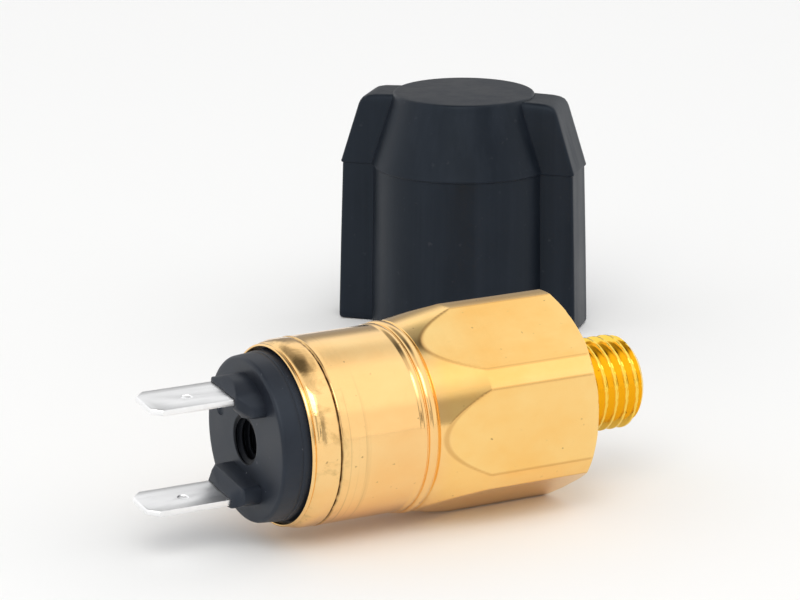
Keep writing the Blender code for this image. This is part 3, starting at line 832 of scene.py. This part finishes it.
def make_base(finish):
    """The moulded base: a turned body, two bosses, the blades' slots, the tapped hole and a gate mark."""
    columns = 192
    angles = [TURN * c / columns for c in range(columns)]
    # (station, radius) pairs: face, flank with its parting line, flange, barrel and the barrel's inside.
    front = [(BASE_FACE, radius) for radius in (0.6, 3.4, 6.5, 9.4)]
    front += arc((BASE_FACE + 0.5, 9.78), (0.5, 0.46), 180, 90, 6)
    side = [(s, 10.25 + (s - BASE_FACE - 0.5) * 0.07) for s in spaced(BASE_FACE + 0.9, -0.9, 0.4)]
    side += [(-0.9, 10.4), (-0.82, 10.36), (-0.74, 10.36), (-0.66, 10.44), (0.2, 10.52), (0.98, 10.6)]
    side += [(1.0, 10.62), (1.0, 10.96), (1.02, 10.98), (2.98, 10.98), (3.0, 10.96)]
    side += [(3.0, 10.02), (3.02, 10.0)]
    back = [(17.4, 10.0), (17.5, 9.9), (17.5, 4.7), (17.4, 4.6), (5.1, 4.6), (5.0, 4.5), (5.0, 3.6)]
    rings = [[switch_point(s, r, a) for a in angles] for s, r in front + side + back]
    base = loft("moulded_base", rings)
    bosses = [
        boss(rounded_outline(UPPER_BOSS), hub=(3.3, 6.35), drop=1.7, run=2.2),
        boss(rounded_outline(LOWER_BOSS), hub=(0.4, -5.8), drop=0.9, run=1.6),
    ]
    combine(base, joined(bosses), "UNION")
    cutters = [tapped_hole(), face_dimple()]
    for sign in (-1, 1):
        slot = upright_box(SLOT_HALF_WIDTH, sign * SLOT_NEAR, sign * SLOT_FAR)
        cutters.append(prism("slot", slot, BOSS_TOP - 1, SLOT_END))
    combine(base, joined(cutters), "DIFFERENCE")
    shade(base, 38)
    dress(base, finish)
    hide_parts("terminal_base")
    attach(base, "switch_body")


def upright_box(half_width, *heights):
    """The outline of a rectangle between two heights."""
    low, high = sorted(heights)
    return [(-half_width, low), (half_width, low), (half_width, high), (-half_width, high)]


def boss(outline, hub, drop, run):
    """A boss round a blade. Its front is level at the blade and falls away by the drop over the run.

    Every point of the outline is in sight of the hub, so rings drawn in towards the hub do not cross.
    """
    side = 1 if hub[1] > 0 else -1
    bottom = BASE_FACE + 0.6
    rings = [[base_point(bottom, u, w) for u, w in outline]]

    def front(u, w):
        """The front's station: level at first, then falling away."""
        beside = max(0.0, abs(u) - LEVEL_HALF_WIDTH)
        beyond = max(0.0, side * w - LEVEL_FAR, LEVEL_NEAR - side * w)
        away = max(0.0, math.hypot(beside, beyond) - LEVEL_MARGIN)
        return BOSS_TOP + BOSS_INSET + drop * smoothstep(0.0, run, away)

    for share in (1.0, 0.95, 0.88, 0.78, 0.66, 0.5, 0.3):
        ring = []
        for u, w in outline:
            near, up = hub[0] + (u - hub[0]) * share, hub[1] + (w - hub[1]) * share
            ring.append(base_point(front(near, up) + (BOSS_EDGE if share == 1.0 else 0.0), near, up))
        rings.append(ring)
    hubs = (base_point(bottom, *hub), base_point(front(*hub), *hub))
    return triangulated(loft("boss", rings, hubs=hubs))


def triangulated(obj):
    """The object, with its mesh cut into triangles."""
    solid = bmesh.new()
    solid.from_mesh(obj.data)
    bmesh.ops.triangulate(solid, faces=solid.faces)
    solid.to_mesh(obj.data)
    solid.free()
    return obj


def tapped_hole():
    """The M6 hole as a cutter, with a small countersink."""
    columns = 96
    rings = []
    step = 0.06
    for station in spaced(BASE_FACE - 0.6, HOLE_END, step) + [HOLE_END]:
        ring = []
        for c in range(columns):
            angle = TURN * c / columns
            r = thread_radius(station, angle, HOLE_MINOR, HOLE_MAJOR, HOLE_PITCH)
            r = max(r, COUNTERSINK_RADIUS - max(0.0, station - BASE_FACE) * COUNTERSINK_RISE)
            ring.append(switch_point(station, r, angle))
        rings.append(ring)
    return loft("tapped_hole", rings)


def face_dimple():
    """A shallow round gate mark on the far side of the base's face, as a cutter."""
    near, up, sides = -6.9, 1.7, 40
    angles = [TURN * c / sides for c in range(sides)]
    rings = []
    for depth, radius in ((-0.3, 1.12), (0.0, 1.1), (0.22, 1.02), (0.3, 0.9)):
        places = [(near + radius * math.cos(a), up + radius * math.sin(a)) for a in angles]
        rings.append([base_point(BASE_FACE + depth, *place) for place in places])
    return loft("dimple", rings)


def make_blade(node, side, finish):
    """A stamped blade: coined edges, a tapered tip and a small locating dimple."""
    half, tip_half = BLADE_HALF_WIDTH, BLADE_TIP_HALF_WIDTH
    outline = [(-tip_half, BLADE_TIP), (tip_half, BLADE_TIP), (half, BLADE_TIP + BLADE_TAPER)]
    outline += [(half, BLADE_END), (-half, BLADE_END), (-half, BLADE_TIP + BLADE_TAPER)]
    low, high = (side * BLADE_OUT + sign * BLADE_THICKNESS / 2 for sign in (-1, 1))
    solid = capped([[base_point(station, near, up) for near, station in outline] for up in (high, low)])
    solid.faces.ensure_lookup_table()
    rims = list(solid.faces[0].edges) + list(solid.faces[1].edges)
    taper_end = RIM_X + (BLADE_TIP + BLADE_TAPER + 0.1) * MM
    tip = [e for e in rims if all(v.co.x < taper_end for v in e.verts)]
    bmesh.ops.bevel(solid, geom=tip, offset=0.22 * MM, segments=3, profile=0.5, affect="EDGES")
    sides = [e for e in solid.edges if e.calc_face_angle(0) > 1.2 and not e.is_boundary]
    bmesh.ops.bevel(solid, geom=sides, offset=0.07 * MM, segments=2, profile=0.5, affect="EDGES")
    blade = solid_object(node + "_stamped", solid)
    foot = prism("foot", upright_box(2.0, side * 6.3, side * 8.6), 18.1, 18.88)
    combine(blade, foot, "UNION")
    combine(blade, blade_dimple(high), "DIFFERENCE")
    shade(blade, 30)
    dress(blade, finish)
    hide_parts(node)
    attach(blade, "switch_body")


def blade_dimple(surface):
    """A conical locating mark in a blade's upper surface, as a cutter."""
    station, near, sides = BLADE_TIP + 5.6, 0.3, 36
    angles = [TURN * c / sides for c in range(sides)]
    rings = []
    for above, radius in ((0.4, 0.85), (0.0, 0.72), (-0.12, 0.62), (-0.22, 0.3)):
        places = [(station + radius * math.cos(a), near + radius * math.sin(a)) for a in angles]
        rings.append([base_point(*place, surface + above) for place in places])
    return loft("mark", rings)


# ---------------------------------------------------------------- main spring


def spring_place(share):
    """The middle of the wire at a share of its length: one closed turn at each end, open coils between."""
    turns, closed = SPRING_TURNS, SPRING_CLOSED_TURNS
    low = (SPRING_LOW.x - RIM_X) / MM + SPRING_WIRE
    high = (SPRING_HIGH.x - RIM_X) / MM - SPRING_WIRE
    closed_rise = closed * SPRING_WIRE * 2.15
    turn = share * turns
    if turn < closed:
        station = low + closed_rise * turn / closed
    elif turn > turns - closed:
        station = high - closed_rise * (turns - turn) / closed
    else:
        station = low + closed_rise
        station += (high - low - 2 * closed_rise) * (turn - closed) / (turns - 2 * closed)
    angle = turn * TURN
    return Vector(switch_point(station, SPRING_RADIUS, -angle))


def spring_half(name, first, last, finish):
    """A stretch of the coil as a round wire with closed ends."""
    steps, sides = 170, 12
    places = [spring_place(first + (last - first) * i / steps) for i in range(steps + 1)]
    rings = []
    for i, place in enumerate(places):
        ahead = (places[min(i + 1, steps)] - places[max(i - 1, 0)]).normalized()
        outward = Vector((0, place.y - AXIS_Y, place.z - AXIS_Z)).normalized()
        across = ahead.cross(outward).normalized()
        outward = across.cross(ahead)
        ring = []
        for side in range(sides):
            angle = TURN * side / sides
            away = outward * math.cos(angle) + across * math.sin(angle)
            ring.append(tuple(place + away * SPRING_WIRE * MM))
        rings.append(ring)
    half = loft(name, rings, smooth_angle=50)
    dress(half, finish)
    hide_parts("main_spring")
    return half


def make_spring(finish):
    """The main spring in two halves."""
    seat_half = spring_half("spring_seat_half", 0.0, 0.5, finish)
    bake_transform(seat_half)
    carrier_half = spring_half("spring_carrier_half", 0.5, 1.0, finish)
    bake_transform(carrier_half)


# ---------------------------------------------------------------- cap


def cap_point(along, across, height):
    """A point of the cap; its lobes lie along the first direction."""
    cos, sin = math.cos(CAP_TURN), math.sin(CAP_TURN)
    return (
        CAP_CENTRE.x + (along * cos - across * sin) * MM,
        CAP_CENTRE.y + (along * sin + across * cos) * MM,
        height * MM,
    )


def cap_turned(name, profile, columns):
    """A turned shape round the cap's middle, from its (radius, height) profile."""
    angles = [TURN * c / columns for c in range(columns)]
    rings = [[cap_point(r * math.cos(a), r * math.sin(a), z) for a in angles] for r, z in profile]
    return loft(name, rings)


def lobe_ring(reach, half_width, rounding, height, droop=0.0):
    """One level of the bar that makes both lobes, its ends lowered by the droop."""
    corners = [
        (reach, -half_width, rounding),
        (reach, half_width, rounding),
        (-reach, half_width, rounding),
        (-reach, -half_width, rounding),
    ]
    outline = rounded_outline(corners)
    dense = []
    for i, (x, y) in enumerate(outline):
        nx, ny = outline[(i + 1) % len(outline)]
        parts = 10 if math.hypot(nx - x, ny - y) > 3 else 1
        dense += [(x + (nx - x) * k / parts, y + (ny - y) * k / parts) for k in range(parts)]
    return [
        cap_point(x, y, height - droop * max(0.0, abs(x) - DROOP_START) / DROOP_RUN) for x, y in dense
    ]


def make_cap(finish):
    """The rubber cap: a turned hood with a step at its shoulder, two lobes, and the hollow inside both."""
    columns = 200
    top = CAP_HEIGHT
    hood = [(0.8, top), (6.0, top), (9.3, top), (9.85, top - 0.01)]
    hood += arc((9.85, top - 0.42), (0.5, 0.40), 80, 20, 5)
    hood += polyline([(10.42, top - 0.7), (13.36, 24.15)], 0.9)
    hood += [(13.42, 23.98), (13.44, 23.86), (13.40, 23.76)]
    hood += [(13.24, 23.68), (13.17, 23.60), (13.16, 23.4)]
    hood += polyline([(13.17, 23.0), (13.48, 0.5)], 1.5)
    hood += [(13.46, 0.25), (13.36, 0.08), (13.2, 0.0), (12.6, 0.0), (6.0, 0.0), (0.8, 0.0)]
    cap = cap_turned("rubber_cap", hood, columns)
    bar = loft("lobes", [lobe_ring(*level) for level in LOBE_LEVELS])
    combine(cap, bar, "UNION")
    bore = [(0.8, 32.6), (8.6, 32.6), (8.9, 32.4), (11.65, 22.6), (11.7, 22.3)]
    bore += [(11.75, 0.8), (11.95, 0.0), (12.0, -1.0), (0.8, -1.0)]
    combine(cap, cap_turned("bore", bore, columns), "DIFFERENCE")
    channels = loft("channels", [lobe_ring(*level) for level in CHANNEL_LEVELS])
    combine(cap, channels, "DIFFERENCE")
    shade(cap, 30)
    dress(cap, finish)
    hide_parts("protective_cap")
    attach(cap, "cap")


# ---------------------------------------------------------------- stage


def make_stage():
    """A plain pale floor, large enough to fill the view."""
    floor = bpy.data.meshes.new("floor")
    low, high = -FLOOR_REACH, FLOOR_REACH
    corners = [(low, low, 0), (high, low, 0), (high, high, 0), (low, high, 0)]
    floor.from_pydata(corners, [], [(0, 1, 2, 3)])
    obj = bpy.data.objects.new("floor", floor)
    bpy.context.scene.collection.objects.link(obj)
    obj.location.z = -FLOOR_GAP
    n = Nodes("pale_floor")
    n.set(Base_Color=(0.90, 0.90, 0.90, 1), Roughness=0.9, Specular_IOR_Level=0.1)
    floor.materials.append(n.material)


def make_key_light():
    """A soft light from high on the front left."""
    light = bpy.data.lights.new("key", "AREA")
    light.shape = "RECTANGLE"
    light.size = light.size_y = KEY_SIDE
    light.energy = KEY_POWER
    light.color = KEY_COLOUR
    obj = bpy.data.objects.new("key", light)
    bpy.context.scene.collection.objects.link(obj)
    obj.location = KEY_PLACE
    towards = Vector(KEY_AIM) - Vector(KEY_PLACE)
    obj.rotation_euler = towards.to_track_quat("-Z", "Y").to_euler()


class WorldNodes(Tree):
    """The studio's brightness, as a function of direction."""

    def __init__(self, tree):
        super().__init__(tree)
        self.direction = self.add("ShaderNodeTexCoord").outputs["Generated"]
        parts = self.add("ShaderNodeSeparateXYZ")
        self.join(self.direction, parts.inputs[0])
        self.height = parts.outputs["Z"]

    def soft(self, value, low, high):
        """0 below low, 1 above high, smooth between them."""
        node = self.add("ShaderNodeMapRange", interpolation_type="SMOOTHSTEP")
        self.join(value, node.inputs["Value"])
        node.inputs["From Min"].default_value = low
        node.inputs["From Max"].default_value = high
        return node.outputs["Result"]

    def along(self, axis):
        """How far the direction goes along an axis."""
        node = self.add("ShaderNodeVectorMath", operation="DOT_PRODUCT")
        self.join(self.direction, node.inputs[0])
        node.inputs[1].default_value = axis
        return node.outputs["Value"]

    def spot(self, towards, outer, inner):
        """1 within the inner angle of a direction, 0 beyond the outer one, in degrees."""
        low, high = (math.cos(math.radians(angle)) for angle in (outer, inner))
        return self.soft(self.along(Vector(towards).normalized()), low, high)

    def strip(self, azimuth, half_width, low, high):
        """1 in an upright strip round an azimuth, between two heights."""
        turn = math.radians(azimuth)
        across = Vector((math.cos(turn), math.sin(turn), 0))
        ahead = Vector((math.sin(turn), -math.cos(turn), 0))
        width = math.sin(math.radians(half_width))
        beside = self.math("ABSOLUTE", self.along(across), 0)
        inside = self.math("SUBTRACT", 1.0, self.soft(beside, width * 0.6, width * 1.4))
        front = self.soft(self.along(ahead), 0.05, 0.25)
        tall = self.math("SUBTRACT", 1.0, self.soft(self.height, high - 0.12, high + 0.12))
        tall = self.times(tall, self.soft(self.height, low - 0.08, low + 0.08))
        return self.times(self.times(inside, front), tall)


def make_world():
    """A white studio with soft boxes, a dimmer back and dark gaps between the front screens."""
    world = bpy.data.worlds.new("studio")
    bpy.context.scene.world = world
    world.use_nodes = True
    w = WorldNodes(world.node_tree)
    overhead = w.soft(w.height, 0.85, 1.0)
    level = w.math("ADD", WORLD_LEVEL, w.times(overhead, OVERHEAD_CHANGE))
    changes = [(w.spot(*spot), change) for *spot, change in WORLD_SPOTS]
    changes += [(w.strip(*strip), change) for *strip, change in WORLD_STRIPS]
    for share, change in changes:
        level = w.math("ADD", level, w.times(share, change))
    level = w.times(w.math("MAXIMUM", level, WORLD_LEAST), WORLD_STRENGTH)
    background = w.tree.nodes["Background"]
    w.join(level, background.inputs["Strength"])
    background.inputs["Color"].default_value = (1.0, 1.0, 1.0, 1.0)


def make_camera():
    """The photograph's view: the aim point on the switch's axis goes to its place in the picture."""
    camera = bpy.data.cameras.new("camera")
    obj = bpy.data.objects.new("camera", camera)
    bpy.context.scene.collection.objects.link(obj)
    azimuth, elevation = math.radians(CAMERA_AZIMUTH), math.radians(CAMERA_ELEVATION)
    level = math.cos(elevation)
    back = Vector((math.sin(azimuth) * level, -math.cos(azimuth) * level, math.sin(elevation)))
    right = Vector((math.cos(azimuth), math.sin(azimuth), 0))
    up = back.cross(right)
    aim = Vector((RIM_X + AIM_STATION * MM, AXIS_Y, AXIS_Z))
    pixel = MM / PIXELS_PER_MM
    middle = aim + up * (AIM_BELOW_MIDDLE * pixel) - right * (AIM_SHIFT * pixel)
    obj.location = middle + back * CAMERA_DISTANCE
    obj.rotation_mode = "QUATERNION"
    obj.rotation_quaternion = (-back).to_track_quat("-Z", "Y")
    camera.sensor_width = 36.0
    camera.lens = PIXELS_PER_MM * CAMERA_DISTANCE / MM / PICTURE_WIDTH * camera.sensor_width
    camera.clip_start, camera.clip_end = 0.01, 20.0
    bpy.context.scene.camera = obj


def main():
    bpy.context.scene.view_settings.view_transform = "Standard"
    finishes = {
        "black_plastic": black_plastic(),
        "rubber": black_rubber(),
        "tinned_brass": tin(),
        "polished_brass": brass(),
        "natural_plastic": nylon(),
    }
    for name, *looks in INNER_METALS:
        finishes[name] = plain_metal(name, *looks)
    make_housing(finishes["polished_brass"])
    make_base(finishes["black_plastic"])
    make_blade("terminal_blade_upper", 1, finishes["tinned_brass"])
    make_blade("terminal_blade_lower", -1, finishes["tinned_brass"])
    make_spring(finishes["spring_steel"])
    make_cap(finishes["rubber"])
    for part in frame["record"]["subparts"]:
        dress(frame["nodes"][part["node"]], finishes[part["material_slot"]])
    make_stage()
    make_world()
    make_key_light()
    make_camera()


main()
